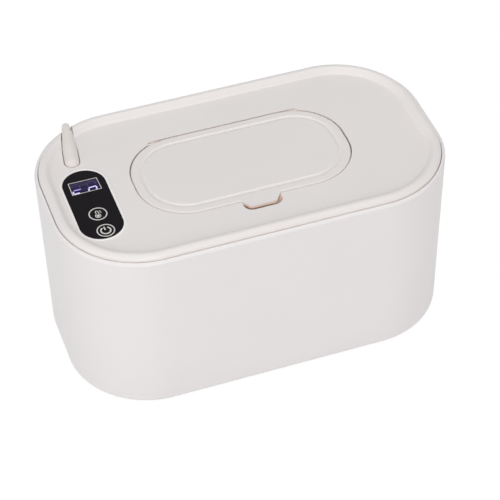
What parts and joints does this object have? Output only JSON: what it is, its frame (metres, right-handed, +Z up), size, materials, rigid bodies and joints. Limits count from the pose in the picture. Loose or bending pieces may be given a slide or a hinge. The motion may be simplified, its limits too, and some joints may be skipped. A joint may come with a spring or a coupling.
{
  "type": "baby wipe warmer",
  "caption": "Box-shaped baby wipe warmer with a plain tub, a lift-off heated lid, a flip-up dispensing door, a touch panel and a coiled low-voltage cord.",
  "frame": {"origin": "middle of the tub's footprint, on the surface that the feet stand on", "axes": "+X left to right along the tub, the front is at -Y, +Z up"},
  "size_m": [0.2, 0.186, 0.1019],
  "materials": {
    "tub_plastic": "fine satin moulded",
    "lid_plastic": "fine satin moulded",
    "door_plastic": "fine satin moulded",
    "tray_plastic": "satin moulded",
    "foot_rubber": "matt",
    "silicone": "soft satin",
    "screw_steel": "zinc plated",
    "panel_gloss": "gloss black acrylic",
    "display_resin": "dark violet filter",
    "board_laminate": "solder mask",
    "spring_brass": "bright",
    "chip_resin": "matt moulded",
    "capacitor_can": "sleeved can",
    "plate_aluminium": "satin rolled",
    "film_polyimide": "amber film",
    "pad_foam": "felted insulation",
    "sensor_epoxy": "dipped",
    "fuse_ceramic": "ceramic sleeve",
    "header_nylon": "moulded",
    "wire_blue": "insulated wire",
    "wire_red": "insulated wire",
    "wire_black": "insulated wire",
    "cord_pvc": "satin jacket",
    "plug_steel": "nickel plated",
    "tongue_plastic": "moulded",
    "contact_gold": "gold plated"
  },
  "bodies": {
    "base": {"tub": "tub_plastic", "rubber_feet": "foot_rubber"},
    "lid": {"lid_cover": "lid_plastic", "lid_tray": "tray_plastic", "rim_gasket": "silicone", "lid_screws": "screw_steel", "control_panel": "panel_gloss", "display_module": "display_resin", "control_board": "board_laminate", "board_screws": "screw_steel", "touch_springs": "spring_brass", "control_chip": "chip_resin", "capacitor": "capacitor_can", "heater_plate": "plate_aluminium", "heater_film": "film_polyimide", "insulation_pad": "pad_foam", "thermistor": "sensor_epoxy", "thermal_fuse": "fuse_ceramic", "lead_header": "header_nylon", "cord_header": "header_nylon", "sensor_leads": "wire_blue", "heater_leads": "wire_red", "cord_wires": "wire_black", "cord_boot": "cord_pvc", "cord_clamp": "tray_plastic", "clamp_screws": "screw_steel", "power_cord": "cord_pvc", "cord_coil": "cord_pvc", "cord_tail": "cord_pvc", "plug_body": "cord_pvc", "plug_shell": "plug_steel", "plug_tongue": "tongue_plastic", "plug_contacts": "contact_gold"},
    "flip": {"flip_door": "door_plastic", "door_seal": "silicone"}
  },
  "joints": [
    {"name": "lid_lift", "type": "slide", "parent": "base", "child": "lid", "axis": [0, 0, 1], "range_m": [0, 0.06]},
    {"name": "flip_open", "type": "hinge", "parent": "lid", "child": "flip", "pos_m": [0, 0.02695, 0.0964], "axis": [-1, 0, 0], "range_deg": [0, 100]}
  ]
}
